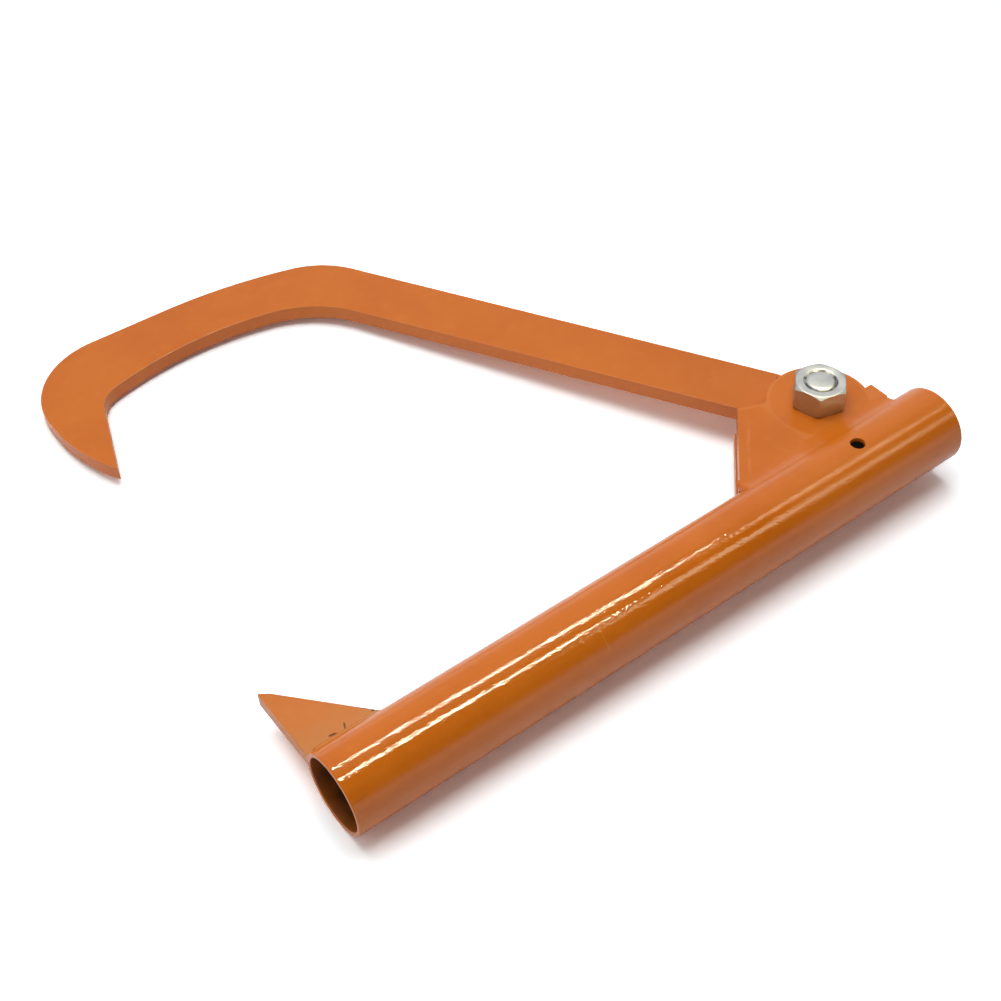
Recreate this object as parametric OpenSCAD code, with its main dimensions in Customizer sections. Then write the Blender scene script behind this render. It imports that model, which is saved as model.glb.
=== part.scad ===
// Cant hook head: a steel socket tube for a pole, with a toe plate at one end
// and a swinging hook held between two welded ears near the other.
// Millimetres. The origin is the centre of the tube's pole mouth, +X points out
// of that mouth, +Y points to the hook's side and +Z runs up the pivot bolt.

/* [Socket tube] */
// Outside diameter of the tube
tube_od = 48.3; // [42:0.1:60]
// Wall of the tube
tube_wall = 2.9; // [2:0.1:4.5]
// Length of the tube
tube_len = 435; // [380:1:520]
// Deburred edge on the outside of both mouths
tube_edge = 0.6; // [0.2:0.1:1.2]
// Diameter of the hole for the screw that holds the pole
screw_hole_d = 9; // [6:0.5:12]
// Distance from the pole mouth to the screw hole
screw_hole_from_mouth = 68.5; // [50:0.5:90]

/* [Toe plate] */
// Thickness of the toe plate
toe_t = 10; // [6:0.5:14]
// Reach of the toe's point beyond the tube
toe_reach = 50.5; // [35:0.5:65]
// Length of the toe's foot along the tube
toe_foot = 46.5; // [36:0.5:70]
// Run of the blunt cut across the toe's point, along the tube
toe_blunt_run = 5.5; // [1:0.5:8]
// Fall of the blunt cut across the toe's point
toe_blunt_fall = 4; // [1:0.5:8]
// Set-back of the toe from the tube's end
toe_setback = 1; // [0.5:0.5:6]

/* [Pivot] */
// Distance from the pole mouth to the pivot
pivot_from_mouth = 52.5; // [46:0.5:70]
// Distance from the tube's surface to the pivot
pivot_standoff = 22.85; // [22.5:0.05:36]
// Diameter of the pivot bolt
bolt_d = 20; // [16:1:22]
// Width across the flats of the bolt's head
bolt_head_af = 30; // [27:0.5:34]
// Height of the bolt's head
bolt_head_h = 12.5; // [10:0.5:15]
// Width across the flats of the nut
nut_af = 30; // [27:0.5:34]
// Height of the nut
nut_h = 16; // [12:0.5:20]
// Turn of the nut's flats as it was tightened, in degrees
nut_turn = 45; // [0:1:60]
// Length of bolt that stands out of the nut
bolt_proud = 0.5; // [0.5:0.5:6]
// Radial play of the hook's eye on the bolt
eye_play = 0.1; // [0.05:0.01:0.1]
// Radial play of the bolt in the ears
ear_play = 0.25; // [0.1:0.05:0.5]
// Radial play between the nut's bore and the bolt
thread_play = 0.05; // [0.02:0.01:0.1]
// Gap between the hook and each ear
hook_side_gap = 0.5; // [0.3:0.1:1.5]

/* [Ears] */
// Thickness of each ear
ear_t = 10; // [8:0.5:10.5]
// Radius of the ear's round head
ear_head_r = 32; // [28:0.5:34]
// Distance of the round head's centre below the bolt
ear_head_drop = 1.5; // [0:0.5:3]
// Front corner of the ear: distance from the pivot along the tube
ear_front_reach = 43; // [40:0.5:55]
// Front corner of the ear: height above the pivot
ear_front_rise = 25; // [15:0.5:30]
// Slope of the ear's front edge to the tube, in degrees
ear_front_slope = 48; // [40:1:70]
// Fall of the front shoulder from its corner to the head, in degrees
ear_shoulder_fall = 23; // [15:1:30]
// Back edge of the ear: distance from the pivot along the tube
ear_back_reach = 36; // [35:0.5:42]
// Step at the back of the ear: depth below the pivot
ear_back_drop = 10; // [5:0.5:14]
// Hollow corner where the head meets the front shoulder
ear_fillet_r = 5; // [2:0.5:8]

/* [Hook] */
// Thickness of the hook
hook_t = 10; // [8:0.5:11]
// Angle of the shank to the tube as the hook lies at rest
shank_angle = 120; // [110:1:125]
// Inner edge of the shank from the pivot
shank_in = 13; // [12:0.5:16]
// Outer edge of the shank from the pivot, beside the eye
shank_out_eye = 27; // [24:0.5:29]
// Outer edge of the shank from the pivot, at the bend
shank_out = 28; // [25:0.5:30]
// Straight length of the shank's inner edge
shank_len = 311.5; // [280:0.5:340]
// How much further the outer edge runs before it bends
bend_lead = 23; // [15:0.5:30]
// Radius of the round eye end about the pivot
eye_r = 21; // [19:0.5:21.5]
// Distance from the pivot over which the eye end widens into the shank
eye_taper = 32; // [28:1:45]
// Inner radius of the bend
bend_in_r = 73; // [60:1:85]
// Inner turn of the bend, in degrees
bend_in_turn = 47; // [42:1:52]
// Inner radius of the arch
arch_in_r = 231; // [200:1:260]
// Inner turn of the arch, in degrees
arch_in_turn = 29; // [26:1:32]
// Radius of the corner inside the beak
throat_r = 21; // [12:1:28]
// Turn of the corner inside the beak, in degrees
throat_turn = 55.5; // [50:0.5:62]
// Straight inner edge of the beak, down to its point
beak_len = 57.5; // [50:0.5:70]
// Outer radius of the bend
bend_out_r = 58; // [48:1:66]
// Outer turn of the bend, in degrees
bend_out_turn = 43; // [38:1:46]
// Outer radius of the arch
arch_out_r = 336; // [280:1:390]
// Outer turn of the arch, in degrees
arch_out_turn = 16; // [13:0.5:19]
// Straight top edge of the arm
arm_flat = 53; // [40:0.5:60]
// Radius of the crown above the beak
crown_r = 54.5; // [45:0.5:62]
// Turn of the crown, in degrees
crown_turn = 94; // [88:1:98]
// Radius of the beak's back, from the crown to its point
back_r = 116; // [90:1:400]

/* [Welds] */
// Leg of the ears' weld on the ear
ear_weld_leg = 1.5; // [1:0.5:6]
// Where the ears' weld ends on the tube, in degrees up from the hook's side
ear_weld_angle = 43; // [42:1:60]
// How flat the ears' weld is, as the depth of its centre below the face
ear_weld_depth = 16; // [8:0.5:24]
// Bare length of the ear's foot in front of its weld
ear_weld_bare = 1; // [0.5:0.5:12]
// Bare length of the ear's foot behind its weld
ear_weld_back_bare = 1; // [0.5:0.5:6]
// Leg of the toe's weld on the toe
toe_weld_leg = 3; // [2:0.5:7]
// Where the toe's weld ends on the tube, in degrees up from the hook's side
toe_weld_angle = 22; // [19:1:34]
// How flat the toe's weld is, as the depth of its centre below the face
toe_weld_depth = 8; // [5:0.5:12]
// Bare length of the toe's foot at each end of its weld
toe_weld_bare = 3; // [2:0.5:10]
// Depth of the weld's root below the plate's face
weld_root = 4; // [2:0.5:4.5]
// Gap left between a plate's edge or weld and the tube
seat_gap = 0.02; // [0.01:0.01:0.1]

/* [Hidden] */
$fn = 96;

orange_paint = [0.80, 0.42, 0.20];
zinc = [0.78, 0.79, 0.80];

// A hair past a face, so that cuts run right through
past = 1;
// Depth to which the ears' hollow corner bites into the edges that it joins
hollow_bite = 0.05;
// Chamfer on the corners of the nut and the bolt's head, and on the bolt's end
hex_chamfer_angle = 30;
hex_face_share = 0.99;
hex_sides = 6;
bolt_end_chamfer = 1.6;

tube_r = tube_od / 2;
bore_r = tube_r - tube_wall;
bolt_r = bolt_d / 2;
seat_r = tube_r + seat_gap;
pivot = [-pivot_from_mouth, tube_r + pivot_standoff];
ear_head = pivot - [0, ear_head_drop];

// Heights of the ears' faces above and below the middle of the hook
ear_in_z = hook_t / 2 + hook_side_gap;
ear_out_z = ear_in_z + ear_t;

// Radius to the corners of a hexagon from the width across its flats
function hex_corner_r(af) = af / 2 / cos(180 / hex_sides);

// Each plate's straight foot touches the tube along its nearest corner
function foot_y(z) = sqrt(pow(seat_r, 2) - pow(z, 2));
ear_foot_y = foot_y(ear_in_z);
toe_foot_y = seat_r;

// A point further on along a heading, and the centre and end of a left-hand arc
function ahead(p, heading, length) = p + length * [cos(heading), sin(heading)];
function arc_centre(p, heading, r) = p + r * [-sin(heading), cos(heading)];
function arc_end(p, heading, r, turn) =
    arc_centre(p, heading, r) + r * [sin(heading + turn), -cos(heading + turn)];
// Left-hand normal of a chord, and the centre of the arc of a given radius over it
function chord_normal(p, q) = [p.y - q.y, q.x - p.x] / norm(q - p);
function chord_centre(p, q, r) =
    (p + q) / 2 + chord_normal(p, q) * sqrt(pow(r, 2) - pow(norm(q - p) / 2, 2));
// Where the line from a point outside a circle about the origin touches it
function touch(q, r, side) =
    let (toward = atan2(q.y, q.x) + side * acos(r / norm(q)))
    r * [cos(toward), sin(toward)];

// Inner edge of the hook, from the eye to the point, with the shank along +X
in_shank = [eye_taper, shank_in];
in_bend = [shank_len, shank_in];
in_arch = arc_end(in_bend, 0, bend_in_r, bend_in_turn);
in_throat_heading = bend_in_turn + arch_in_turn;
in_throat = arc_end(in_arch, bend_in_turn, arch_in_r, arch_in_turn);
beak_heading = in_throat_heading + throat_turn;
in_beak = arc_end(in_throat, in_throat_heading, throat_r, throat_turn);
point = ahead(in_beak, beak_heading, beak_len);

// Outer edge of the hook, from the eye to the crown
out_shank = [eye_taper, -shank_out_eye];
out_bend = [shank_len + bend_lead, -shank_out];
out_arch = arc_end(out_bend, 0, bend_out_r, bend_out_turn);
arm_heading = bend_out_turn + arch_out_turn;
out_arm = arc_end(out_arch, bend_out_turn, arch_out_r, arch_out_turn);
out_crown = ahead(out_arm, arm_heading, arm_flat);
out_back = arc_end(out_crown, arm_heading, crown_r, crown_turn);

// Corners of an ear, in the plane of the tube
ear_front = pivot + [-ear_front_reach, ear_front_rise];
ear_back = pivot + [ear_back_reach, -ear_back_drop];
ear_front_foot_x = ear_front.x - (ear_front.y - ear_foot_y) / tan(ear_front_slope);
ear_under_head = [pivot.x, ear_front.y - ear_front_reach * tan(ear_shoulder_fall)];

// Solid round the X axis between two stations, from its outline in X and radius
module turned_on_x(outline) {
    rotate([0, 90, 0])
        rotate_extrude()
            polygon([for (p = outline) [p.y, p.x]]);
}

// Plate of a given thickness centred on a height
module plate(thickness, height = 0) {
    translate([0, 0, height - thickness / 2])
        linear_extrude(thickness)
            children();
}

// Slice of a disc between an arc and its chord, with the arc on the right of the chord
module arc_slice(p, q, r) {
    outward = -chord_normal(p, q) * r;
    intersection() {
        translate(chord_centre(p, q, r))
            circle(r);
        polygon([p, q, q + outward, p + outward]);
    }
}

// Socket tube with its deburred mouths and the screw hole through its top wall
module socket_tube() {
    color(orange_paint)
        difference() {
            turned_on_x([
                [-tube_len, bore_r],
                [-tube_len, tube_r - tube_edge],
                [-tube_len + tube_edge, tube_r],
                [-tube_edge, tube_r],
                [0, tube_r - tube_edge],
                [0, bore_r]
            ]);
            translate([-screw_hole_from_mouth, 0, 0])
                cylinder(h = tube_r + past, d = screw_hole_d);
        }
}

// Toe plate: a blunt right-angled point, square to the tube's end
module toe_plate() {
    end_x = -tube_len + toe_setback;
    point_y = tube_r + toe_reach;
    color(orange_paint)
        plate(toe_t)
            polygon([
                [end_x, toe_foot_y],
                [end_x + toe_foot, toe_foot_y],
                [end_x + toe_blunt_run, point_y - toe_blunt_fall],
                [end_x, point_y]
            ]);
}

// Fillet weld along a plate's foot, above the middle plane.
// Its face is a flat arc from the plate's top to the tube.
module foot_weld(start_x, end_x, foot_y, top_z, leg, angle, depth) {
    on_tube = tube_r * [cos(angle), sin(angle)];
    on_plate = [foot_y + leg, top_z];
    centre = (on_plate + on_tube) / 2 + chord_normal(on_plate, on_tube) * depth;
    r = norm(on_plate - centre);
    difference() {
        translate([start_x, centre.x, centre.y])
            rotate([0, 90, 0])
                cylinder(h = end_x - start_x, r = r);
        translate([start_x - past, 0, 0])
            rotate([0, 90, 0])
                cylinder(h = end_x - start_x + 2 * past, r = seat_r);
        translate([start_x - past, foot_y, -top_z])
            cube([end_x - start_x + 2 * past, 2 * r, 2 * top_z]);
        translate([start_x - past, 0, top_z - weld_root - 2 * r])
            cube([end_x - start_x + 2 * past, 2 * tube_r, 2 * r]);
    }
}

module toe_weld_upper() {
    end_x = -tube_len + toe_setback;
    color(orange_paint)
        foot_weld(end_x + toe_weld_bare, end_x + toe_foot - toe_weld_bare, toe_foot_y, toe_t / 2,
                  toe_weld_leg, toe_weld_angle, toe_weld_depth);
}

module toe_weld_lower() {
    mirror([0, 0, 1])
        toe_weld_upper();
}

// Outline of an ear: a braced foot, a round head about the bolt, a step behind it
// and a hollow corner between the head and the front shoulder
module ear_outline() {
    normal = [sin(ear_shoulder_fall), cos(ear_shoulder_fall)];
    downhill = [normal.y, -normal.x];
    clear = (ear_front - ear_head) * normal + ear_fillet_r;
    hollow = ear_head + normal * clear - downhill * sqrt(pow(ear_head_r + ear_fillet_r, 2) - pow(clear, 2));
    difference() {
        union() {
            polygon([
                [ear_front_foot_x, ear_foot_y],
                [ear_back.x, ear_foot_y],
                ear_back,
                [pivot.x, ear_back.y],
                ear_under_head,
                ear_front
            ]);
            translate(ear_head)
                circle(ear_head_r);
            polygon([ear_head, hollow, hollow - normal * 2 * ear_fillet_r]);
        }
        translate([ear_front_foot_x - past, 0])
            square([past - ear_front_foot_x, ear_foot_y]);
        translate(hollow)
            circle(ear_fillet_r + hollow_bite);
        translate(pivot)
            circle(bolt_r + ear_play);
    }
}

module upper_ear() {
    color(orange_paint)
        plate(ear_t, (ear_in_z + ear_out_z) / 2)
            ear_outline();
}

module lower_ear() {
    mirror([0, 0, 1])
        upper_ear();
}

module upper_ear_weld() {
    color(orange_paint)
        foot_weld(ear_front_foot_x + ear_weld_bare, ear_back.x - ear_weld_back_bare, ear_foot_y, ear_out_z,
                  ear_weld_leg, ear_weld_angle, ear_weld_depth);
}

module lower_ear_weld() {
    mirror([0, 0, 1])
        upper_ear_weld();
}

// Outline of the hook with its shank along +X and the pivot at the origin
module hook_outline() {
    difference() {
        union() {
            polygon([
                touch(in_shank, eye_r, 1),
                touch(out_shank, eye_r, -1),
                out_shank,
                out_bend,
                out_arch,
                out_arm,
                out_crown,
                out_back,
                point,
                in_beak,
                in_throat,
                in_arch,
                in_bend,
                in_shank
            ]);
            circle(eye_r);
            arc_slice(out_bend, out_arch, bend_out_r);
            arc_slice(out_arch, out_arm, arch_out_r);
            arc_slice(out_crown, out_back, crown_r);
            arc_slice(out_back, point, back_r);
        }
        arc_slice(in_bend, in_arch, bend_in_r);
        arc_slice(in_arch, in_throat, arch_in_r);
        arc_slice(in_throat, in_beak, throat_r);
        circle(bolt_r + eye_play);
    }
}

module hook() {
    color(orange_paint)
        translate(pivot)
            rotate([0, 0, shank_angle])
                plate(hook_t)
                    hook_outline();
}

// Round envelope that takes the corners off a hexagon, at its top or at both ends
module hex_envelope(af, height, both_ends) {
    corner_r = hex_corner_r(af);
    face_r = af / 2 * hex_face_share;
    drop = (corner_r - face_r) * tan(hex_chamfer_angle);
    rotate_extrude()
        polygon([
            [0, 0],
            [both_ends ? face_r : corner_r, 0],
            [corner_r, both_ends ? drop : 0],
            [corner_r, height - drop],
            [face_r, height],
            [0, height]
        ]);
}

module hex_block(af, height, both_ends) {
    intersection() {
        cylinder(h = height, r = hex_corner_r(af), $fn = hex_sides);
        hex_envelope(af, height, both_ends);
    }
}

// Pivot bolt, with its head under the lower ear and its end above the nut
module pivot_bolt() {
    length = 2 * ear_out_z + nut_h + bolt_proud;
    color(zinc)
        translate([pivot.x, pivot.y, -ear_out_z]) {
            cylinder(h = length - bolt_end_chamfer, r = bolt_r);
            translate([0, 0, length - bolt_end_chamfer])
                cylinder(h = bolt_end_chamfer, r1 = bolt_r, r2 = bolt_r - bolt_end_chamfer);
            mirror([0, 0, 1])
                hex_block(bolt_head_af, bolt_head_h, false);
        }
}

module pivot_nut() {
    color(zinc)
        translate([pivot.x, pivot.y, ear_out_z])
            rotate([0, 0, nut_turn])
                difference() {
                    hex_block(nut_af, nut_h, true);
                    translate([0, 0, -past])
                        cylinder(h = nut_h + 2 * past, r = bolt_r + thread_play);
                }
}

socket_tube();
toe_plate();
toe_weld_upper();
toe_weld_lower();
lower_ear();
lower_ear_weld();
upper_ear();
upper_ear_weld();
hook();
pivot_bolt();
pivot_nut();
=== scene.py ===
import math

import bmesh
import bpy
from mathutils import Matrix, Vector


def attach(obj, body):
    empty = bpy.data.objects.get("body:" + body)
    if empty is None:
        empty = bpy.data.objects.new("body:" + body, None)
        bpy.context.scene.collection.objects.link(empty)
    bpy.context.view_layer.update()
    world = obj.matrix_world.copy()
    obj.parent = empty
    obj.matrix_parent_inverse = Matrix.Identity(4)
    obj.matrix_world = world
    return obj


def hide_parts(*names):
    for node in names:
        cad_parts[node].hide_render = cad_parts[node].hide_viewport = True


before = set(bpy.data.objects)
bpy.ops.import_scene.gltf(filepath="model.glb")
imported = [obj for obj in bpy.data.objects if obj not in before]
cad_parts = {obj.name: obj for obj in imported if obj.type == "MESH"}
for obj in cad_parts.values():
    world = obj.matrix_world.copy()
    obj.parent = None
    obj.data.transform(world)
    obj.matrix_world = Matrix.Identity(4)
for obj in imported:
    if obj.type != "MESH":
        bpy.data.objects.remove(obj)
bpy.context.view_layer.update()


# Socket tube: welded steel tube, 48.3 mm outside with a 2.9 mm wall, sawn to length and deburred.
# The pole slides in at +X, and one screw through the drilled top wall holds it. It is sprayed orange
# after the plates are welded on, so the film is thick, glossy and pebbled.
MM = 0.001
tube_r = 24.15 * MM
bore_r = 21.25 * MM
tube_len = 435 * MM
lip_r = 0.6 * MM
bore_lip_r = 0.9 * MM
screw_hole_r = 4.5 * MM
screw_hole_x = -68.5 * MM
deburr_width = 0.35 * MM
orange = (0.660, 0.158, 0.006, 1)
thick_orange = (0.610, 0.136, 0.003, 1)
thin_orange = (0.690, 0.190, 0.020, 1)
# A paler orange for painted highlights on rounded edges, rims and ridges
edge_highlight_orange = (0.780, 0.270, 0.070, 1)
cloud_size = 60 * MM
film_size = 8 * MM
pebble_size = 2.1 * MM
pebble_height = 0.060 * MM
grit_size = 0.9 * MM
grit_height = 0.014 * MM
drag_size = 1.1 * MM
drag_height = 0.04 * MM


class Wire:
    """A wire in a node tree: sums on wires add Math nodes, and add() makes any other node."""

    def __init__(self, tree, end=None):
        self.tree = tree
        self.end = end

    def add(self, kind, settings={}, sockets={}, out=0):
        made = self.tree.nodes.new(kind)
        for name, value in settings.items():
            setattr(made, name, value)
        for name, value in sockets.items():
            self.plug(made.inputs[name], value)
        return Wire(self.tree, made.outputs[out] if len(made.outputs) else None)

    def plug(self, socket, value):
        if isinstance(value, Wire):
            self.tree.links.new(value.end, socket)
        else:
            socket.default_value = value

    def beside(self, out):
        """Another output of the node that this wire comes from."""
        return Wire(self.tree, self.end.node.outputs[out])

    def sum(self, operation, *others):
        return self.add("ShaderNodeMath", {"operation": operation}, dict(enumerate((self,) + others)))

    def __add__(self, other):
        return self.sum("ADD", other)

    def __sub__(self, other):
        return self.sum("SUBTRACT", other)

    def __rsub__(self, other):
        return self.add("ShaderNodeMath", {"operation": "SUBTRACT"}, {0: other, 1: self})

    def __mul__(self, other):
        return self.sum("MULTIPLY", other)

    def __truediv__(self, other):
        return self.sum("DIVIDE", other)

    def __pow__(self, other):
        return self.sum("POWER", other)

    def __abs__(self):
        return self.sum("ABSOLUTE")

    __radd__ = __add__
    __rmul__ = __mul__

    def split(self):
        """The three parts of a place or a direction."""
        parts = self.add("ShaderNodeSeparateXYZ", {}, {"Vector": self})
        return parts, parts.beside("Y"), parts.beside("Z")

    def ramp(self, low, high):
        """0 below low and 1 above high, with a soft step between."""
        return self.add("ShaderNodeMapRange", {"interpolation_type": "SMOOTHSTEP"},
                        {"Value": self, "From Min": low, "From Max": high})

    def blotches(self, size, detail=2.0, stretch=(1, 1, 1)):
        """Soft noise with blotches of about this size, read at this place."""
        spread = self.add("ShaderNodeMapping", {}, {"Vector": self, "Scale": stretch})
        return self.add("ShaderNodeTexNoise", {},
                        {"Vector": spread, "Scale": 1 / size, "Detail": detail})

    def mix(self, under, over):
        """One colour over another, with this wire as the share of the upper one."""
        return self.add("ShaderNodeMix", {"data_type": "RGBA"}, {0: self, 6: under, 7: over}, out=2)


def new_finish(name):
    """An empty material, and a wire that carries the place on the piece."""
    finish = bpy.data.materials.new(name)
    finish.use_nodes = True
    finish.node_tree.nodes.clear()
    place = Wire(finish.node_tree).add("ShaderNodeTexCoord", out="Object")
    return finish, place


def coat(place, height, sockets):
    """Close a finish: its relief, and the other sockets of its Principled BSDF."""
    relief = place.add("ShaderNodeBump", {}, {"Height": height, "Strength": 1.0, "Distance": 1.0})
    shader = place.add("ShaderNodeBsdfPrincipled", {}, {"Normal": relief, **sockets})
    place.add("ShaderNodeOutputMaterial", {}, {"Surface": shader})


def levelness(place):
    """1 where a face lies flat, up or down, and 0 where it stands upright."""
    return abs(place.add("ShaderNodeNewGeometry", out="Normal").split()[2])


def orange_paint(name, peel, gloss, cut=False, marks=None):
    """Sprayed enamel: a cloudy film with orange peel; a cut plate has drag lines, and its rounded edges are
    paler, partly thin paint and partly a painted highlight.
    """
    finish, place = new_finish(name)
    cloud = place.blotches(cloud_size, 3)
    film = place.blotches(film_size, 2)
    colour = cloud.ramp(0.38, 0.72).mix(orange, thick_orange)
    colour = (film.ramp(0.50, 0.80) * 0.30).mix(colour, thin_orange)
    pebbles = place.add("ShaderNodeTexVoronoi", {"feature": "F1"},
                        {"Vector": place, "Scale": 1 / pebble_size})
    # The deepest pits between the pebbles fill with paint
    pebbles = pebbles.sum("MINIMUM", 0.95)
    grit = place.blotches(grit_size, 1)
    height = grit * (grit_height * peel) - pebbles * pebbles * (pebble_height * peel)
    rough = (film - 0.5) * (0.4 * gloss) + gloss
    if cut:
        level = levelness(place)
        wall = 1 - level.ramp(0.15, 0.50)
        drag = place.blotches(drag_size, 2, stretch=(1, 1, 0.05))
        height = height + wall * drag * drag_height
        # Painted highlight: rounded edges are tinted paler, partly as thin paint and partly for the light
        # they catch
        edge_highlight = level.ramp(0.25, 0.45) * (1 - level.ramp(0.80, 0.97))
        colour = (edge_highlight * 0.8).mix(colour, edge_highlight_orange)
    if marks:
        colour, rough, height = marks(place, colour, rough, height)
    coat(place, height, {"Base Color": colour, "Roughness": rough, "IOR": 1.5})
    return finish


def settled(obj):
    """The plain mesh that an object's modifiers leave; the working object goes."""
    graph = bpy.context.evaluated_depsgraph_get()
    mesh = bpy.data.meshes.new_from_object(obj.evaluated_get(graph), depsgraph=graph)
    bpy.data.objects.remove(obj)
    return mesh


def on_bench(name, data):
    """A new object in the scene, at the origin."""
    obj = bpy.data.objects.new(name, data)
    bpy.context.scene.collection.objects.link(obj)
    return obj


def fit(name, mesh, finish, body, node):
    """Set a finished mesh in its place on the object, standing for its CAD node."""
    mesh.name = name
    mesh.materials.clear()
    mesh.materials.append(finish)
    piece = on_bench(name, mesh)
    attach(piece, body)
    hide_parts(node)


def loft(name, rings, wrap=False):
    """A closed skin over rings of equal count; the end rings are capped unless it wraps."""
    shape = bmesh.new()
    rows = [[shape.verts.new(p) for p in ring] for ring in rings]
    count = len(rows[0])
    pairs = list(zip(rows, rows[1:])) + ([(rows[-1], rows[0])] if wrap else [])
    for low, high in pairs:
        for i in range(count):
            j = (i + 1) % count
            shape.faces.new((low[i], low[j], high[j], high[i]))
    if not wrap:
        shape.faces.new(list(reversed(rows[0])))
        shape.faces.new(rows[-1])
    if shape.calc_volume(signed=True) < 0:
        bmesh.ops.reverse_faces(shape, faces=shape.faces)
    mesh = bpy.data.meshes.new(name)
    shape.to_mesh(mesh)
    shape.free()
    return mesh


def smooth(mesh, corner=40):
    """Shade a mesh smooth, but not over a corner of more than this many degrees."""
    mesh.polygons.foreach_set("use_smooth", [True] * len(mesh.polygons))
    mesh.set_sharp_from_angle(angle=math.radians(corner))
    return mesh


def circle(count, r, turn=0.0):
    turns = [2 * math.pi * i / count + turn for i in range(count)]
    return [(r * math.cos(a), r * math.sin(a)) for a in turns]


def rounded(centre, r, start, end, steps=4):
    """Points of a small rounding in a turned outline, angles in degrees."""
    spread = [math.radians(start + (end - start) * i / steps) for i in range(steps + 1)]
    return [(centre[0] + r * math.cos(a), centre[1] + r * math.sin(a)) for a in spread]


# The tube's wall as a turned outline, with closer rows of points where the screw hole is drilled
far, near = -tube_len, 0.0
past_lip = 1.2 * MM
past_bore_lip = 2 * MM
row_gap = 0.8 * MM
hole_rows = [screw_hole_x + i * row_gap for i in range(-12, 13)]
tube_outline = rounded((far + lip_r, tube_r - lip_r), lip_r, 180, 90)
tube_outline += [(x, tube_r) for x in [far + past_lip] + hole_rows + [near - past_lip]]
tube_outline += rounded((near - lip_r, tube_r - lip_r), lip_r, 90, 0)
tube_outline += rounded((near - bore_lip_r, bore_r + bore_lip_r), bore_lip_r, 0, -90)
tube_outline += [(x, bore_r) for x in [near - past_bore_lip] + hole_rows[::-1] + [far + past_bore_lip]]
tube_outline += rounded((far + bore_lip_r, bore_r + bore_lip_r), bore_lip_r, -90, -180)
tube_rings = [[(x, y, z) for y, z in circle(192, r)] for x, r in tube_outline]

# The drill is turned a little, so that none of its points falls on a row of the tube's
drill_turn = 0.03
drill_low, drill_high = 10 * MM, 40 * MM
drill_rings = [[(screw_hole_x + x, y, z) for x, y in circle(64, screw_hole_r, drill_turn)]
               for z in (drill_low, drill_high)]
drill = on_bench("drill", loft("drill", drill_rings))
tube_blank = on_bench("tube_blank", loft("tube", tube_rings, wrap=True))
drilled = tube_blank.modifiers.new("drilled", "BOOLEAN")
drilled.operation = "DIFFERENCE"
drilled.solver = "EXACT"
drilled.object = drill
merged = tube_blank.modifiers.new("merged", "WELD")
merged.merge_threshold = 0.03 * MM
deburred = tube_blank.modifiers.new("deburred", "BEVEL")
deburred.width = deburr_width
deburred.segments = 2
deburred.limit_method = "ANGLE"
deburred.angle_limit = math.radians(50)
tube_mesh = smooth(settled(tube_blank))
bpy.data.objects.remove(drill)

# The lining's colours are painted darker than the real paint and steel, as shade inside the bore; rust
# patches vary them
shaded_bore_brown = (0.085, 0.028, 0.004, 1)
shaded_bare_steel = (0.030, 0.022, 0.012, 1)
shaded_rusty_steel = (0.055, 0.042, 0.018, 1)
hair_orange = (0.720, 0.300, 0.040, 1)
hair_x, hair_y = -274 * MM, -16.5 * MM
dry_from, dry_to = -175 * MM, -100 * MM
drawn_height = 0.012 * MM
dust_height = 0.012 * MM


def tube_marks(place, colour, rough, height):
    """Outside: draw lines, pale streaks, a hair line, and dry overspray towards the pole's end.
    Inside: overspray that dies out over dull, rusty steel, all painted darker with depth as shade in the
    bore."""
    x, y, z = place.split()
    inside = 1 - ((y * y + z * z) ** 0.5).ramp(bore_r + 0.05 * MM, bore_r + 0.35 * MM)
    depth = (-1 * x).sum("MINIMUM", x + tube_len) + place.blotches(12 * MM) * (20 * MM)
    # Painted shade: the lining darkens with depth into the bore, where little light reaches
    deep_shade = depth.ramp(14 * MM, 70 * MM)
    oversprayed = (1 - depth.ramp(8 * MM, 24 * MM)) * 0.5
    rust = place.blotches(5 * MM, 4).ramp(0.35, 0.70)
    lining_and_shade = deep_shade.mix(shaded_bore_brown, rust.mix(shaded_bare_steel, shaded_rusty_steel))
    lining_and_shade = oversprayed.mix(lining_and_shade, thick_orange)
    wander = (place.blotches(3 * MM, 1) - 0.5) * MM
    hair = 1 - abs(x - hair_x + wander).ramp(0.25 * MM, 0.7 * MM)
    hair = hair * (1 - abs(y - hair_y).ramp(4 * MM, 5.5 * MM)) * z.ramp(0, 8 * MM)
    colour = (hair * 0.35).mix(colour, hair_orange)
    streaks = place.blotches(4 * MM, 3, stretch=(0.01, 1, 1)).ramp(0.42, 0.66)
    colour = (streaks * 0.22).mix(colour, thin_orange)
    drawn = place.blotches(1.6 * MM, 2, stretch=(0.008, 1, 1))
    dry = x.ramp(dry_from, dry_to)
    dust = place.blotches(grit_size, 2)
    height = height + drawn * drawn_height + dust * dry * dust_height
    return inside.mix(colour, lining_and_shade), rough + inside * 0.40 + dry * 0.12, height


tube_enamel = orange_paint("tube_enamel", peel=1.0, gloss=0.055, marks=tube_marks)
fit("socket_tube_painted", tube_mesh, tube_enamel, "head", "socket_tube")


# Toe plate: a blunt triangle of 10 mm plate, burned out and welded square to the tube's far end.
# It digs into the log from below; the torch leaves fine upright drag lines on its edges.
plate_t = 10 * MM
toe_end = -434 * MM
toe_foot = 24.17 * MM
toe_corners = [(toe_end, toe_foot), (-387.5 * MM, toe_foot),
               (-428.5 * MM, 70.65 * MM), (toe_end, 74.65 * MM)]
toe_edge_round = 0.35 * MM
touching = 0.001 * MM


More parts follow.
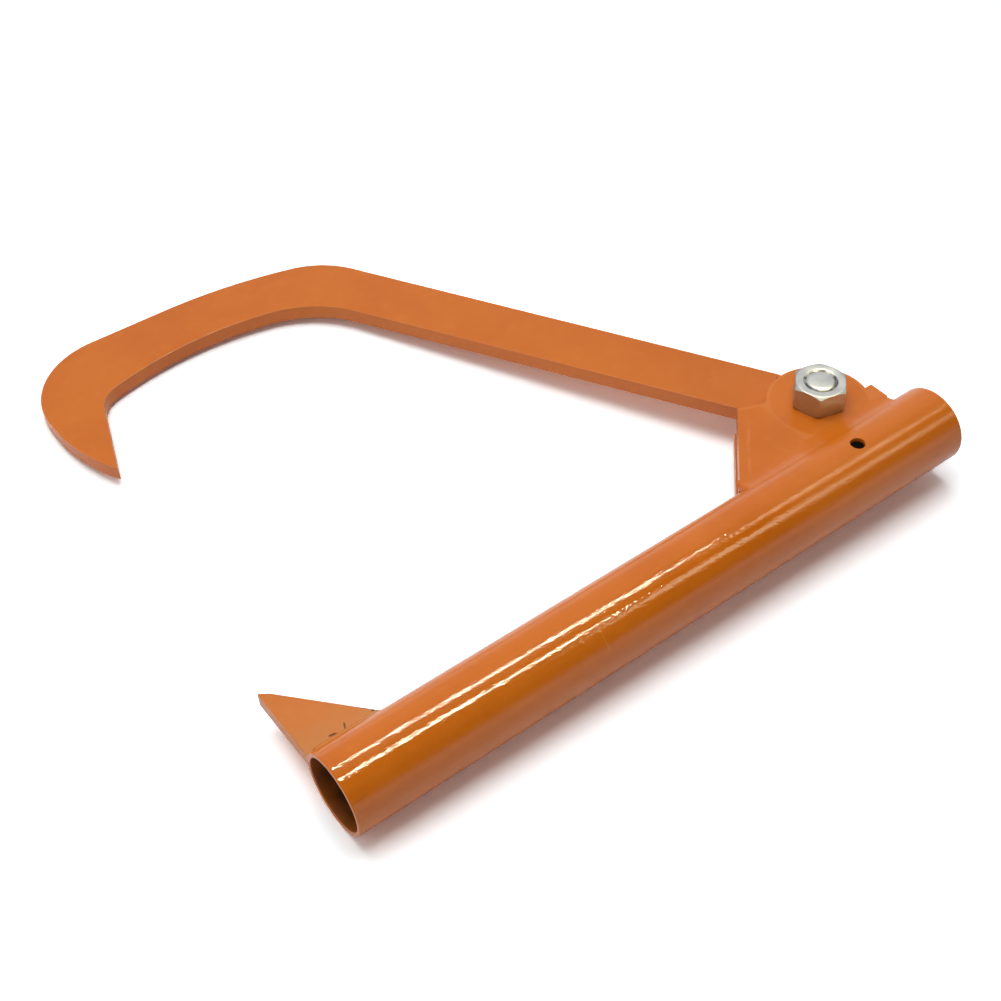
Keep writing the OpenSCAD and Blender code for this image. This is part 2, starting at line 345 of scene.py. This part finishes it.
def nodes_for(name, sizes):
    """An empty Geometry Nodes tree with named inputs, and a wire for each of them."""
    tree = bpy.data.node_groups.new(name, "GeometryNodeTree")
    tree.interface.new_socket("Geometry", in_out="OUTPUT", socket_type="NodeSocketGeometry")
    for label, kind in sizes.items():
        tree.interface.new_socket(label, in_out="INPUT", socket_type="NodeSocket" + kind)
    entry = Wire(tree).add("NodeGroupInput")
    return tree, {label: entry.beside(label) for label in sizes}


def close_tree(shape, finish):
    """End a tree: real geometry, with its finish on."""
    shape = shape.add("GeometryNodeRealizeInstances", {}, {"Geometry": shape})
    shape = shape.add("GeometryNodeSetMaterial", {}, {"Geometry": shape, "Material": finish})
    shape.add("NodeGroupOutput", {}, {"Geometry": shape})


def run_tree(name, data, tree, values):
    """The plain mesh that a tree makes from this data and these named sizes."""
    obj = on_bench(name, data)
    made = obj.modifiers.new(name, "NODES")
    made.node_group = tree
    for item in tree.interface.items_tree:
        if item.in_out == "INPUT" and item.name in values:
            made[item.identifier] = values[item.name]
    return settled(obj)


def outline_curve(name, loops):
    """Closed outlines, in plan, as one flat curve."""
    curve = bpy.data.curves.new(name, "CURVE")
    curve.dimensions = "3D"
    for loop in loops:
        line = curve.splines.new("POLY")
        line.points.add(len(loop) - 1)
        for point, (x, y) in zip(line.points, loop):
            point.co = (x, y, 0, 1)
        line.use_cyclic_u = True
    return curve


plate_tree, plate_in = nodes_for("cut_plate", {"Outline": "Geometry", "Underside": "Float",
                                               "Thickness": "Float", "Paint": "Material"})
flat = plate_in["Outline"]
flat = flat.add("GeometryNodeFillCurve", {"mode": "NGONS"}, {"Curve": flat})
rise = flat.add("ShaderNodeCombineXYZ", {}, {"Z": plate_in["Thickness"]})
lift = flat.add("ShaderNodeCombineXYZ", {}, {"Z": plate_in["Underside"]})
walls = flat.add("GeometryNodeExtrudeMesh", {"mode": "FACES"},
                 {"Mesh": flat, "Offset": rise, "Offset Scale": 1.0, "Individual": False})
under = flat.add("GeometryNodeFlipFaces", {}, {"Mesh": flat})
slab = flat.add("GeometryNodeJoinGeometry")
for shell in (walls, under):
    slab.plug(slab.end.node.inputs["Geometry"], shell)
slab = flat.add("GeometryNodeMergeByDistance", {}, {"Geometry": slab, "Distance": touching})
slab = flat.add("GeometryNodeSetPosition", {}, {"Geometry": slab, "Offset": lift})
close_tree(slab, plate_in["Paint"])


def cut_plate(name, loops, underside, finish, edge_round):
    """A plate cut to an outline, with its edges dressed round."""
    blank = run_tree(name, outline_curve(name, loops), plate_tree,
                     {"Underside": underside, "Thickness": plate_t, "Paint": finish})
    blank.polygons.foreach_set("use_smooth", [True] * len(blank.polygons))
    bench = on_bench(name, blank)
    dressed = bench.modifiers.new("dressed", "BEVEL")
    dressed.width = edge_round
    dressed.segments = 3
    dressed.limit_method = "ANGLE"
    dressed.angle_limit = math.radians(30)
    dressed.harden_normals = True
    return settled(bench)


# Undercut nicks at the foot of the weld: centre in plan, half length and half width in mm, lie in degrees
toe_nicks = [(-416.6, 27.9, 2.4, 0.7, -14), (-408.8, 28.8, 2.4, 0.45, 65),
             (-391.5, 27.9, 1.6, 0.5, 0), (-393.4, 30.5, 6.5, 0.35, -48.6)]
nick_depth = 0.5 * MM
# A dark brown for bare nicks, and for painted shade on the hook beside the ear
nick_and_shade_brown = (0.110, 0.038, 0.005, 1)
scorched_orange = (0.540, 0.190, 0.030, 1)
scorch_from, scorch_to = 36 * MM, 66 * MM


def cut_nicks(place, colour, height, nicks):
    """Small ragged nicks in the upper face, which the paint didn't fill."""
    x, y, z = place.split()
    upper = z.ramp(3.6 * MM, 4.6 * MM)
    ragged = place.blotches(1.2 * MM, 2)
    for at_x, at_y, half, wide, lie in nicks:
        c, s = math.cos(math.radians(lie)), math.sin(math.radians(lie))
        off_x, off_y = x - at_x * MM, y - at_y * MM
        along = (off_x * c + off_y * s) / (half * MM)
        aside = (off_y * c - off_x * s) / (wide * MM)
        nick = upper * (1 - (along * along + aside * aside + ragged).ramp(1.0, 1.7))
        colour = (nick * 0.9).mix(colour, nick_and_shade_brown)
        height = height - nick * nick_depth
    return colour, height


def toe_marks(place, colour, rough, height):
    """Undercut nicks and a scorched, mottled film beside the toe's weld."""
    x, y, z = place.split()
    mottled = y + place.blotches(9 * MM, 3) * (30 * MM)
    heat = (1 - mottled.ramp(scorch_from, scorch_to)) * 0.55 + 0.22
    colour, height = cut_nicks(place, heat.mix(colour, scorched_orange), height, toe_nicks)
    return colour, rough, height


toe_enamel = orange_paint("toe_enamel", peel=0.55, gloss=0.32, cut=True, marks=toe_marks)
toe_mesh = cut_plate("toe", [toe_corners], -plate_t / 2, toe_enamel, toe_edge_round)
fit("toe_plate_painted", toe_mesh, toe_enamel, "head", "toe_plate")


# Toe welds: a fillet bead along each side of the toe's foot, laid by hand and sprayed over with the rest.
# The bead swells and ripples a little as the puddle moved on, and it ends in rounded stops.
# In mm: its ends along the tube, its toes on plate and tube, how far its face swells, and its buried root.
toe_bead = {"start": -431.0, "end": -390.5, "stop": 2.5, "swell": 0.59,
            "on_plate": (27.17, 5.0), "on_tube": (22.39, 9.05), "pin": (23.6, 1.5),
            "root": [(21.9, 8.9), (23.6, 1.5), (24.4, 1.4), (26.6, 4.5)]}
ripple_pitch = 2.4 * MM
ripple_height = 0.02 * MM
puddle_size = 7 * MM
puddle_swell = 0.3 * MM
ripple_bow = 9000
blunt_end = 0.004

bead_tree, bead_in = nodes_for("weld_bead", {"Profile": "Geometry", "Start": "Vector", "End": "Vector",
                                             "Stop": "Float", "Pitch": "Float", "Ripple": "Float",
                                             "Swell": "Float", "Paint": "Material"})
seam = bead_in["Start"].add("GeometryNodeCurvePrimitiveLine", {},
                            {"Start": bead_in["Start"], "End": bead_in["End"]})
seam = seam.add("GeometryNodeResampleCurve", {}, {"Curve": seam, "Count": 240})
seam = seam.add("GeometryNodeSetCurveNormal", {"mode": "Z_UP"}, {"Curve": seam})
along = seam.add("GeometryNodeSplineParameter", out="Length")
whole = seam.add("GeometryNodeSplineLength", out="Length")
from_end = along.sum("MINIMUM", whole - along)
short = (1 - from_end / bead_in["Stop"]).sum("MAXIMUM", 0.0)
taper = (1 - short * short).sum("MAXIMUM", blunt_end).sum("SQRT")
bead = seam.add("GeometryNodeCurveToMesh", {}, {"Curve": seam, "Profile Curve": bead_in["Profile"],
                                                "Scale": taper, "Fill Caps": True})
spot = seam.add("GeometryNodeInputPosition")
spot_x, spot_y, spot_z = spot.split()
across = spot_z - spot_y
puddle = spot.add("ShaderNodeTexNoise", {}, {"Vector": spot, "Scale": 1 / puddle_size, "Detail": 2.0})
steps = spot_x / bead_in["Pitch"] + across * across * ripple_bow + puddle * 0.8
wave = (steps * (2 * math.pi)).sum("SINE")
push = wave * bead_in["Ripple"] + (puddle - 0.5) * bead_in["Swell"]
outward = spot.add("GeometryNodeInputNormal")
shove = spot.add("ShaderNodeVectorMath", {"operation": "SCALE"}, {0: outward, "Scale": push})
bead = bead.add("GeometryNodeSetPosition", {}, {"Geometry": bead, "Offset": shove})
bead = bead.add("GeometryNodeSetShadeSmooth", {}, {"Geometry": bead})
close_tree(bead, bead_in["Paint"])


def weld(name, bead, side, finish):
    """A bead along a plate's foot; side is 1 above the middle plane and -1 below."""
    (py, pz), (ty, tz), (pin_y, pin_z) = bead["on_plate"], bead["on_tube"], bead["pin"]
    wide = math.dist(bead["on_plate"], bead["on_tube"])
    out_y, out_z = (tz - pz) / wide, (py - ty) / wide
    face = []
    for t in [i / 20 for i in range(21)]:
        bulge = bead["swell"] * math.sin(math.pi * t)
        face.append((py + (ty - py) * t + out_y * bulge, pz + (tz - pz) * t + out_z * bulge))
    loop = [((pin_y - y) * MM, (pin_z - z) * side * MM) for y, z in face + bead["root"]]
    y, z = pin_y * MM, pin_z * side * MM
    mesh = run_tree(name, outline_curve(name, [loop if side > 0 else loop[::-1]]), bead_tree,
                    {"Start": (bead["start"] * MM, y, z), "End": (bead["end"] * MM, y, z),
                     "Stop": bead["stop"] * MM, "Pitch": ripple_pitch, "Ripple": ripple_height,
                     "Swell": puddle_swell, "Paint": finish})
    shape = bmesh.new()
    shape.from_mesh(mesh)
    bmesh.ops.remove_doubles(shape, verts=shape.verts, dist=touching)
    if shape.calc_volume(signed=True) < 0:
        bmesh.ops.reverse_faces(shape, faces=shape.faces)
    shape.to_mesh(mesh)
    shape.free()
    return smooth(mesh, 60)


toe_weld_enamel = orange_paint("toe_weld_enamel", peel=0.7, gloss=0.32, marks=toe_marks)
fit("toe_weld_upper_painted", weld("toe_bead_upper", toe_bead, 1, toe_weld_enamel), toe_weld_enamel,
    "head", "toe_weld_upper")
fit("toe_weld_lower_painted", weld("toe_bead_lower", toe_bead, -1, toe_weld_enamel), toe_weld_enamel,
    "head", "toe_weld_lower")


# Ears: two equal cheeks of 10 mm plate that carry the pivot bolt, one above the hook and one below.
# Each has a round head about the bolt, a braced front shoulder and a small step behind. Plan sizes in mm.
pin = (-52.5, 47.0)
pivot = Vector(pin) * MM
ear_in_z = 5.5 * MM
ear_foot = 23.536
ear_head_r = 32.0
ear_head = (-52.5, 45.5)
ear_front = (-95.5, 72.0)
ear_front_foot = -139.14
ear_back = (-16.5, 37.0)
shoulder_fall = math.radians(23)
hollow_r = 5.0
ear_bore_r = 10.25
ear_edge_round = 2.2 * MM
full_bore = (0, 357, 0.5)


def arc(centre, r, start, end, step=1.2):
    """Points of an arc in millimetres, angles in degrees, with this step along it."""
    count = max(3, math.ceil(abs(math.radians(end - start)) * r / step))
    turns = [math.radians(start + (end - start) * i / count) for i in range(count + 1)]
    return [(centre[0] + r * math.cos(a), centre[1] + r * math.sin(a)) for a in turns]


# The shoulder runs into the round head through a small hollow that touches both
fall_normal = (math.sin(shoulder_fall), math.cos(shoulder_fall))
hollow_up = hollow_r + sum((f - h) * n for f, h, n in zip(ear_front, ear_head, fall_normal))
hollow_back = math.sqrt((ear_head_r + hollow_r) ** 2 - hollow_up ** 2)
hollow = (ear_head[0] + fall_normal[0] * hollow_up - fall_normal[1] * hollow_back,
          ear_head[1] + fall_normal[1] * hollow_up + fall_normal[0] * hollow_back)
to_hollow = math.degrees(math.atan2(hollow[1] - ear_head[1], hollow[0] - ear_head[0]))
step_angle = math.degrees(math.asin((ear_back[1] - ear_head[1]) / ear_head_r))
ear_loop = [(ear_front_foot, ear_foot), (ear_back[0], ear_foot), ear_back]
ear_loop += arc(ear_head, ear_head_r, step_angle, to_hollow)
ear_loop += arc(hollow, hollow_r, to_hollow + 180, 270 - math.degrees(shoulder_fall), 0.6)[1:]
ear_loop += [ear_front]
ear_bore = arc(pin, ear_bore_r, *full_bore)
ear_loops = [[(x * MM, y * MM) for x, y in loop] for loop in (ear_loop, ear_bore)]

fat_edge = 6.2 * MM
fat_height = 0.03 * MM
# How far in from the ear's edge the painted highlight is full, and where it has faded out
rim_highlight_near, rim_highlight_far = 1.2 * MM, 3.0 * MM


def from_axis(place, axis):
    """Distance in plan from an upright axis."""
    x, y, z = place.split()
    return ((x - axis[0]) ** 2 + (y - axis[1]) ** 2) ** 0.5


def ear_marks(place, colour, rough, height):
    """A painted highlight: paler paint along the rim, where the rounded edge catches the light, and along
    the fat ridge where the paint drew back from the cut front, which is also raised as a bump.
    """
    x, y, z = place.split()
    x, y = x - ear_front[0] * MM, y - ear_front[1] * MM
    run = (Vector(ear_front) - Vector((ear_front_foot, ear_foot))).normalized()
    inward = x * run.y - y * run.x + (place.blotches(9 * MM, 2) - 0.5) * (3 * MM)
    down = -1 * (x * run.x + y * run.y)
    ridge = (1 - abs(inward - fat_edge).ramp(0.3 * MM, 1.6 * MM)) * down.ramp(10 * MM, 22 * MM)
    below = -1 * (x * fall_normal[0] + y * fall_normal[1])
    from_head = from_axis(place, Vector(ear_head) * MM)
    on_head = x.ramp(10 * MM, 14 * MM)
    shoulder_highlight = 1 - below.ramp(rim_highlight_near, rim_highlight_far)
    head_highlight = from_head.ramp(ear_head_r * MM - rim_highlight_far, ear_head_r * MM - rim_highlight_near)
    rim_highlight = (shoulder_highlight * (1 - on_head)).sum("MAXIMUM", head_highlight * on_head)
    faint = place.blotches(14 * MM, 1).ramp(0.30, 0.60)
    # Painted highlight: paler paint along the rim and along the ridge
    colour = (ridge * faint * 0.28 + rim_highlight * 0.22).mix(colour, edge_highlight_orange)
    return colour, rough, height + ridge * fat_height


ear_enamel = orange_paint("ear_enamel", peel=0.40, gloss=0.23, cut=True, marks=ear_marks)
for name, underside in (("upper_ear", ear_in_z), ("lower_ear", -ear_in_z - plate_t)):
    fit(name + "_painted", cut_plate(name, ear_loops, underside, ear_enamel, ear_edge_round), ear_enamel,
        "head", name)


# Ear welds: one long fillet along the outer side of each ear's foot holds it to the round of the tube.
# The bead is washed in, so its face is a little hollow, and it is sprayed over with the rest.
ear_bead = {"start": -140.2, "end": -16.4, "stop": 2.0, "swell": -0.85,
            "on_plate": (26.5, 15.5), "on_tube": (14.85, 19.03), "pin": (20.9, 11.6),
            "root": [(14.5, 18.7), (20.9, 11.6), (23.9, 11.5), (26.2, 15.1)]}
weld_enamel = orange_paint("weld_enamel", peel=0.6, gloss=0.23)
fit("upper_ear_weld_painted", weld("upper_ear_bead", ear_bead, 1, weld_enamel), weld_enamel,
    "head", "upper_ear_weld")
fit("lower_ear_weld_painted", weld("lower_ear_bead", ear_bead, -1, weld_enamel), weld_enamel,
    "head", "lower_ear_weld")


# Hook: one piece of 10 mm plate burned out in a single sweep, with a straight shank from the eye, a bend,
# a long shallow arch, and a beak that comes back to a chisel point. It swings on the bolt.
# Its plan is drawn in mm from the eye, with the shank along +X, and then turned to its place.
shank_angle = math.radians(120)
eye_r = 21.0
eye_bore_r = 10.1
in_shank = (32.0, 13.0)
out_shank = (32.0, -27.0)
out_bend = (334.5, -28.0)
inner_legs = [(279.5,), (73, 47), (231, 29), (21, 55.5), (57.5,)]
outer_legs = [(58, 43), (336, 16), (53,), (54.5, 94)]
beak_back_r = 116.0
hook_edge_round = 0.8 * MM


def walk(start, legs):
    """Points along an edge that sets off along +X: straight legs, and left-hand arcs of (radius, turn)."""
    points, heading = [start], 0.0
    for leg in legs:
        x, y = points[-1]
        c, s = math.cos(math.radians(heading)), math.sin(math.radians(heading))
        if len(leg) == 1:
            points.append((x + leg[0] * c, y + leg[0] * s))
        else:
            r, turn = leg
            points += arc((x - r * s, y + r * c), r, heading - 90, heading + turn - 90)[1:]
            heading += turn
    return points


def closing_arc(p, q, r):
    """The left-hand arc of this radius from p to q."""
    half = math.dist(p, q) / 2
    rise = math.sqrt(r * r - half * half)
    normal = ((p[1] - q[1]) / 2 / half, (q[0] - p[0]) / 2 / half)
    centre = ((p[0] + q[0]) / 2 + normal[0] * rise, (p[1] + q[1]) / 2 + normal[1] * rise)
    start = math.degrees(math.atan2(p[1] - centre[1], p[0] - centre[0]))
    return arc(centre, r, start, start + 2 * math.degrees(math.asin(half / r)))


def touch_angle(q, r, side):
    """Where a straight edge from q touches the eye's round end, in degrees."""
    return math.degrees(math.atan2(q[1], q[0]) + side * math.acos(r / math.hypot(*q)))


inner_edge = walk(in_shank, inner_legs)
outer_edge = [out_shank] + walk(out_bend, outer_legs)
beak_back = closing_arc(outer_edge[-1], inner_edge[-1], beak_back_r)
eye_end = arc((0, 0), eye_r, touch_angle(in_shank, eye_r, 1), 360 + touch_angle(out_shank, eye_r, -1))
hook_loop = outer_edge + beak_back[1:-1] + inner_edge[::-1] + eye_end
eye_bore = arc((0, 0), eye_bore_r, *full_bore)
turned = Matrix.Rotation(shank_angle, 2)
hook_loops = [[tuple(turned @ Vector(p) * MM + pivot) for p in loop] for loop in (hook_loop, eye_bore)]
hook_nicks = [(-48.1, 85.2, 1.1, 0.7, 30)]


def hook_marks(place, colour, rough, height):
    """Painted shade: a darker ring on the hook just outside the ear's round head, and a broad darkening
    towards the pivot, where the ear and nut shade the hook; and one nick beside it.
    """
    from_pin = from_axis(place, pivot) + place.blotches(6 * MM, 2) * (3 * MM)
    # Painted shade: darker just outside the ear's head, and faintly darker towards the pivot
    ear_shadow_ring = (1 - from_pin.ramp(32 * MM, 39 * MM)) * 0.10
    pivot_shade = (1 - from_pin.ramp(40 * MM, 160 * MM)) * 0.09
    colour = (ear_shadow_ring + pivot_shade).mix(colour, nick_and_shade_brown)
    colour, height = cut_nicks(place, colour, height, hook_nicks)
    return colour, rough, height


hook_enamel = orange_paint("hook_enamel", peel=0.40, gloss=0.23, cut=True, marks=hook_marks)
hook_mesh = cut_plate("hook_plate", hook_loops, -plate_t / 2, hook_enamel, hook_edge_round)
fit("hook_painted", hook_mesh, hook_enamel, "hook", "hook")


# Pivot bolt: a 20 mm hex bolt, cold headed and zinc plated, pushed up through the ears and the hook's eye.
# Its rolled thread ends in a chamfer and a slightly domed face, half a millimetre above the nut.
bolt_r = 10 * MM
bolt_head_z = -15.5 * MM
bolt_head_h = 12.5 * MM
head_seat_r = 13.5 * MM
bolt_end_z = 32.0 * MM
thread_from = 8 * MM
thread_end = bolt_end_z - 1.9 * MM
thread_pitch = 2.5 * MM
thread_depth = 1.5 * MM
hex_half = 15 * MM
hex_face_r = 14.85 * MM
hex_flat_r = hex_face_r - 0.5 * MM
corner_chamfer = math.radians(30)
# The bolt's domed end: radius and drop in mm, from the chamfer in to the middle
bolt_dome = ((8.9, 1.25), (8.35, 0.75), (7.9, 0.50), (7.3, 0.36), (6.0, 0.22), (4.2, 0.10), (2.2, 0.02))
round_count = 96
dark_zinc = (0.59, 0.62, 0.66, 1)
pale_zinc = (0.69, 0.71, 0.75, 1)
shaded_flank_zinc = (0.46, 0.47, 0.47, 1)
shaded_chamfer_zinc = (0.30, 0.33, 0.37, 1)
thread_groove_shade = (0.075, 0.070, 0.062, 1)


def zinc_plate(name):
    """Bright zinc: a soft silver sheen with cloudy roughness and fine draw marks; duller and painted darker
    on the flanks and chamfers as shade and to dim the lamps' glint, with painted shade in the thread's
    mouth."""
    finish, place = new_finish(name)
    x, y, z = place.split()
    cloud = place.blotches(7 * MM, 3)
    grain = place.blotches(0.5 * MM, 3, stretch=(1, 1, 0.2))
    level = levelness(place)
    from_pin = from_axis(place, pivot)
    # Painted shade: the flanks and chamfers are mixed towards a darker zinc
    flank = 1 - level.ramp(0.15, 0.55)
    chamfer = from_pin.ramp(14.7 * MM, 15.1 * MM) * level.ramp(0.55, 0.75)
    # Painted shade in the thread's mouth, where the nut meets the bolt, broken into patches
    mouth = from_pin.ramp(8.3 * MM, 8.8 * MM) * (1 - from_pin.ramp(10.2 * MM, 10.7 * MM))
    patchy = place.blotches(5 * MM, 2).ramp(0.38, 0.58) * 0.7 + 0.3
    groove_shade = mouth * z.ramp(25 * MM, 27 * MM) * patchy
    colour = cloud.ramp(0.3, 0.7).mix(dark_zinc, pale_zinc)
    colour = (flank * 0.75).mix(colour, shaded_flank_zinc)
    colour = (chamfer * 0.7).mix(colour, shaded_chamfer_zinc)
    colour = (groove_shade * 0.85).mix(colour, thread_groove_shade)
    rough = 0.29 + cloud * 0.12 + flank * 0.04 + chamfer * 0.25 + groove_shade * 0.20
    height = cloud * (0.02 * MM) + grain * (0.004 * MM)
    coat(place, height, {"Base Color": colour, "Roughness": rough, "Metallic": 1.0})
    return finish


def hex_ring(turn, z, way):
    """A ring on the hexagon's sides; way is 1 or -1 where the chamfer eases its corners up or down."""
    ring = []
    for i in range(round_count):
        a = 2 * math.pi * i / round_count
        r = hex_half / math.cos(a % (math.pi / 3) - math.pi / 6)
        eased = z + way * max(0.0, (r - hex_face_r) * math.tan(corner_chamfer))
        ring.append((pivot.x + r * math.cos(a + turn), pivot.y + r * math.sin(a + turn), eased))
    return ring


def round_ring(turn, r, z):
    return [(pivot.x + x, pivot.y + y, z) for x, y in circle(round_count, r, turn)]


def share(value):
    return min(1.0, max(0.0, value))


def thread_ring(turn, z, low, high, grow):
    """A ring of a right-hand thread: its depth runs round with the angle, and fades at both ends."""
    full = thread_depth * share((z - low) / thread_pitch) * share((high - z) / thread_pitch + 0.35)
    ring = []
    for i in range(round_count):
        a = 2 * math.pi * i / round_count + turn
        phase = (z / thread_pitch - a / (2 * math.pi)) % 1.0
        r = bolt_r + grow - full * share(abs(2 * phase - 1) * 1.3 - 0.15)
        ring.append((pivot.x + r * math.cos(a), pivot.y + r * math.sin(a), z))
    return ring


head_low = bolt_head_z - bolt_head_h
bolt_rings = [round_ring(0, r, head_low) for r in (4 * MM, hex_flat_r, hex_face_r)]
bolt_rings += [hex_ring(0, head_low, 1), hex_ring(0, bolt_head_z, 0)]
bolt_rings += [round_ring(0, r, bolt_head_z) for r in (head_seat_r, bolt_r)]
bolt_rings.append(round_ring(0, bolt_r, thread_from - 1 * MM))
turns_z = [thread_from + (thread_end - thread_from) * i / 110 for i in range(111)]
bolt_rings += [thread_ring(0, z, thread_from, thread_end, 0) for z in turns_z]
bolt_rings += [round_ring(0, r * MM, bolt_end_z - drop * MM) for r, drop in bolt_dome]
bright_zinc = zinc_plate("bright_zinc")
fit("pivot_bolt_plated", smooth(loft("pivot_bolt", bolt_rings), 35), bright_zinc,
    "head", "pivot_bolt")


# Pivot nut: a 30 mm hex nut, zinc plated, chamfered on both faces and run down on the bolt's thread
# until it seats on the upper ear, with just enough slack for the hook to swing.
nut_turn = math.radians(45)
nut_low = 15.5 * MM
nut_top = 31.5 * MM
nut_mouth = 0.9 * MM
thread_slack = 0.06 * MM
nut_rings = [round_ring(nut_turn, r, nut_low) for r in (bolt_r + 0.8 * MM, hex_flat_r, hex_face_r)]
nut_rings += [hex_ring(nut_turn, nut_low, 1), hex_ring(nut_turn, nut_top, -1)]
nut_rings += [round_ring(nut_turn, r, nut_top) for r in (hex_face_r, hex_flat_r, bolt_r + nut_mouth)]
nut_rings.append(round_ring(nut_turn, bolt_r + nut_mouth / 2, nut_top - 0.1 * MM))
inner_z = [nut_top - nut_mouth - (nut_top - nut_low - 2 * nut_mouth) * i / 70 for i in range(71)]
past_nut = thread_end + 5 * MM
nut_rings += [thread_ring(nut_turn, z, thread_from, past_nut, thread_slack) for z in inner_z]
fit("pivot_nut_plated", smooth(loft("pivot_nut", nut_rings, wrap=True), 35), bright_zinc,
    "head", "pivot_nut")


# Studio: a sheet of white paper under the part, two rows of shop tubes overhead and a soft white room.
# The part rests on the hook's arch, the bolt's head and the tube's far end, so the paper is tilted to them.
rests = [Vector(p) * MM for p in ((-392.64, 389.81, -5), (-57.69, 60.27, -28), (-434.4, 0, -24.15))]
part_middle = Vector((-0.25, 0.12, 0))
sheet_half = 4
white = (1, 1, 1, 1)
paper_dark = (0.90, 0.90, 0.90, 1)
paper_pale = (0.93, 0.93, 0.93, 1)
paper_mirrored = (0.92, 0.92, 0.92, 1)
paper_seen = (1.48, 1.535, 1.56, 1)
floor_up = (rests[1] - rests[0]).cross(rests[2] - rests[0]).normalized()
floor_up = floor_up if floor_up.z > 0 else -floor_up
aside = floor_up.orthogonal().normalized() * sheet_half
ahead = floor_up.cross(aside)
middle = sum(rests, Vector()) / 3
corners = [middle + aside * a + ahead * b for a, b in ((-1, -1), (1, -1), (1, 1), (-1, 1))]
sheet = bpy.data.meshes.new("paper")
sheet.from_pydata(corners, [], [(0, 1, 2, 3)])

# Near the part the paper is card that takes the shadow; far off it is plain white, and clear from below
paper, place = new_finish("white_paper")
seen = place.add("ShaderNodeLightPath", out="Is Camera Ray")
mirrored = seen.beside("Is Glossy Ray") + seen.beside("Is Transmission Ray")
fibre = place.blotches(3 * MM, 2).mix(paper_dark, paper_pale)
tint = seen.mix(mirrored.mix(fibre, paper_mirrored), paper_seen)
card = place.add("ShaderNodeBsdfDiffuse", {}, {"Color": tint})
off = from_axis(place, part_middle)
away = seen * off.ramp(0.45, 0.85) + mirrored * off.ramp(1.0, 2.0)
glow = place.add("ShaderNodeEmission", {}, {"Color": white, "Strength": 1.0})
card = place.add("ShaderNodeMixShader", {}, {0: away, 1: card, 2: glow})
below = place.add("ShaderNodeNewGeometry", out="Backfacing") * seen
clear = place.add("ShaderNodeBsdfTransparent")
card = place.add("ShaderNodeMixShader", {}, {0: below, 1: card, 2: clear})
place.add("ShaderNodeOutputMaterial", {}, {"Surface": card})
sheet.materials.append(paper)
on_bench("paper", sheet)

strip_z = 1.60
strip_colour = (1.0, 0.91, 0.60)


def strip_lamp(name, start, end, width, power):
    """A long narrow lamp overhead, facing down, which shows in the gloss and lights nothing else."""
    start, end, up = Vector(start + (strip_z,)), Vector(end + (strip_z,)), Vector((0, 0, 1))
    run = (end - start).normalized()
    lamp = bpy.data.lights.new(name, "AREA")
    lamp.shape = "RECTANGLE"
    lamp.size = (end - start).length
    lamp.size_y = width
    lamp.energy = power
    lamp.color = strip_colour
    obj = on_bench(name, lamp)
    obj.location = (start + end) / 2
    obj.rotation_euler = Matrix((run, up.cross(run), up)).transposed().to_euler()
    obj.visible_diffuse = False


def soft_panel(name, spot, size, power):
    """A wide diffuser aimed at the part; it lights without showing in the gloss."""
    lamp = bpy.data.lights.new(name, "AREA")
    lamp.size = size
    lamp.energy = power
    obj = on_bench(name, lamp)
    obj.location = spot
    obj.rotation_euler = (part_middle - obj.location).to_track_quat("-Z", "Y").to_euler()
    obj.visible_glossy = False


# Each row of shop tubes has a near and a far fitting, which draw the broken lines along the tube
strip_lamp("back_near", (-0.06, 0.69), (0.66, 0.08), 0.020, 13)
strip_lamp("back_far", (0.77, -0.12), (1.35, -0.38), 0.14, 2.4)
strip_lamp("front_near", (-0.07, -0.20), (0.49, -0.61), 0.025, 12)
strip_lamp("front_far", (0.60, -0.89), (1.80, -1.58), 0.34, 8)
soft_panel("main_panel", (-0.20, 0.28, 1.80), 1.3, 22.5)
soft_panel("front_panel", (-0.60, -1.45, 0.95), 1.4, 3.4)
soft_panel("left_panel", (-1.70, 0.20, 0.80), 1.2, 3)

# The room is brighter behind the part than in front, and plain white to the camera
front_bright, back_more = 0.05, 0.56
room = bpy.data.worlds.new("white_room")
bpy.context.scene.world = room
room.use_nodes = True
room.node_tree.nodes.clear()
air = Wire(room.node_tree)
right, back, up = air.add("ShaderNodeTexCoord", out="Generated").split()
bright = back.ramp(-0.30, 0.50) * back_more + front_bright
low = 1 - up.ramp(0.0, 0.35)
rays = air.add("ShaderNodeLightPath", out="Is Camera Ray")
rays = rays + rays.beside("Is Transmission Ray") + rays.beside("Is Glossy Ray") * low * 0.9
soft = air.add("ShaderNodeBackground", {}, {"Color": white, "Strength": bright})
plain = air.add("ShaderNodeBackground", {}, {"Color": white, "Strength": 1.0})
room_light = air.add("ShaderNodeMixShader", {}, {0: rays, 1: soft, 2: plain})
air.add("ShaderNodeOutputWorld", {}, {"Surface": room_light})

camera_at = (-0.604160, -0.396338, 0.641210)
camera_aim = Vector((-0.24654, 0.11180, 0.0))
camera_roll = math.radians(-2.416)
camera = bpy.data.cameras.new("camera")
camera.lens = 54.36
camera.sensor_width = 36
eye = on_bench("camera", camera)
eye.location = camera_at
gaze = (camera_aim - eye.location).to_track_quat("-Z", "Y")
eye.rotation_euler = (gaze @ Matrix.Rotation(camera_roll, 3, "Z").to_quaternion()).to_euler()
bpy.context.scene.camera = eye
bpy.context.scene.view_settings.view_transform = "Standard"
